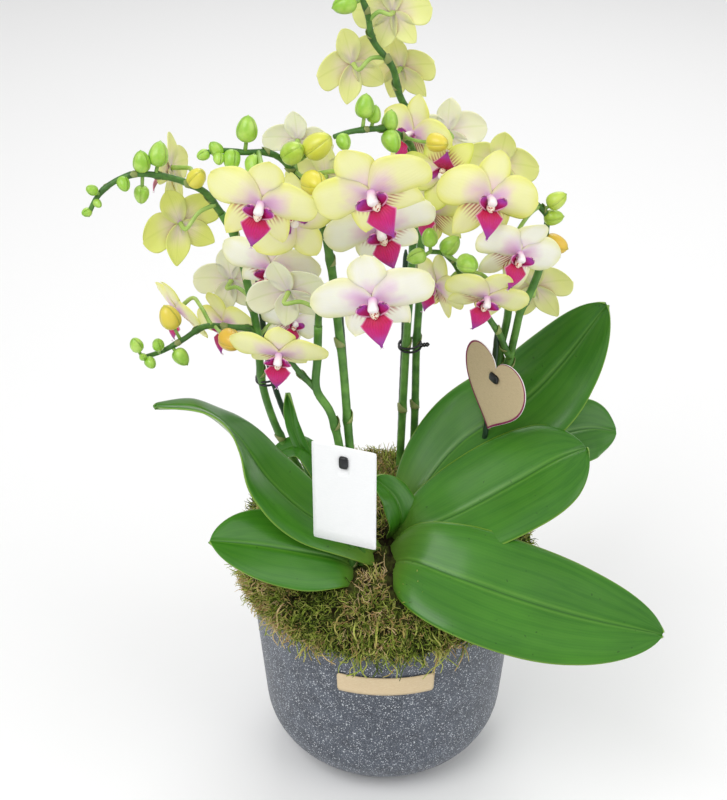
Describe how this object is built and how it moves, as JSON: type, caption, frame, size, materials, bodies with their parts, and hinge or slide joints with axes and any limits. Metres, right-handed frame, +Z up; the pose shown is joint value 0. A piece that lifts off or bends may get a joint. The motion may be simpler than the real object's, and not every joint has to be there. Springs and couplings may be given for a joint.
{
  "type": "potted orchid",
  "caption": "Potted moth orchid in a deep round speckled pot, with moss, broad leaves, staked arching flower spikes, buds, and two plain tags.",
  "frame": {"origin": "centre of the flat underside of the pot, on the surface that it stands on", "axes": "+Z up along the pot's axis; -Y towards the front, where the label and the card face; +X to the right seen from the front"},
  "size_m": [0.4107, 0.2639, 0.6724],
  "materials": {
    "pot": "satin",
    "label": "satin",
    "medium": "matte",
    "moss": "matte",
    "leaf": "satin",
    "stem": "satin",
    "petal": "satin",
    "stake": "satin",
    "wire": "satin",
    "card": "satin",
    "kraft": "matte"
  },
  "bodies": {
    "root": {"card": "card", "card_clip": "wire", "flower_back_arching_1": "petal", "flower_back_arching_2": "petal", "flower_back_tall_1": "petal", "flower_back_tall_2": "petal", "flower_back_tall_3": "petal", "flower_back_tall_4": "petal", "flower_back_tall_5": "petal", "flower_centre_1": "petal", "flower_centre_2": "petal", "flower_centre_3": "petal", "flower_centre_4": "petal", "flower_centre_5": "petal", "flower_centre_6": "petal", "flower_front_1": "petal", "flower_front_2": "petal", "flower_front_3": "petal", "flower_left_1": "petal", "flower_left_2": "petal", "flower_left_3": "petal", "flower_left_4": "petal", "flower_left_5": "petal", "flower_left_6": "petal", "flower_left_7": "petal", "flower_right_1": "petal", "flower_right_2": "petal", "flower_right_3": "petal", "flower_right_4": "petal", "flower_right_back_1": "petal", "flower_right_back_2": "petal", "growing_medium": "medium", "heart_clip": "wire", "heart_tag": "kraft", "leaf_arching_left": "leaf", "leaf_back_right": "leaf", "leaf_centre": "leaf", "leaf_far_right": "leaf", "leaf_front_left": "leaf", "leaf_front_right": "leaf", "leaf_narrow_left": "leaf", "leaf_right": "leaf", "leaf_small_back_left": "leaf", "moss": "moss", "pot": "pot", "pot_label": "label", "spike_back_arching": "stem", "spike_back_tall": "stem", "spike_centre": "stem", "spike_front": "stem", "spike_left": "stem", "spike_right": "stem", "spike_right_back": "stem", "stake_back": "stake", "stake_front": "stake", "stake_left": "stake", "stake_right": "stake", "tie_back": "wire", "tie_left": "wire"}
  },
  "joints": []
}
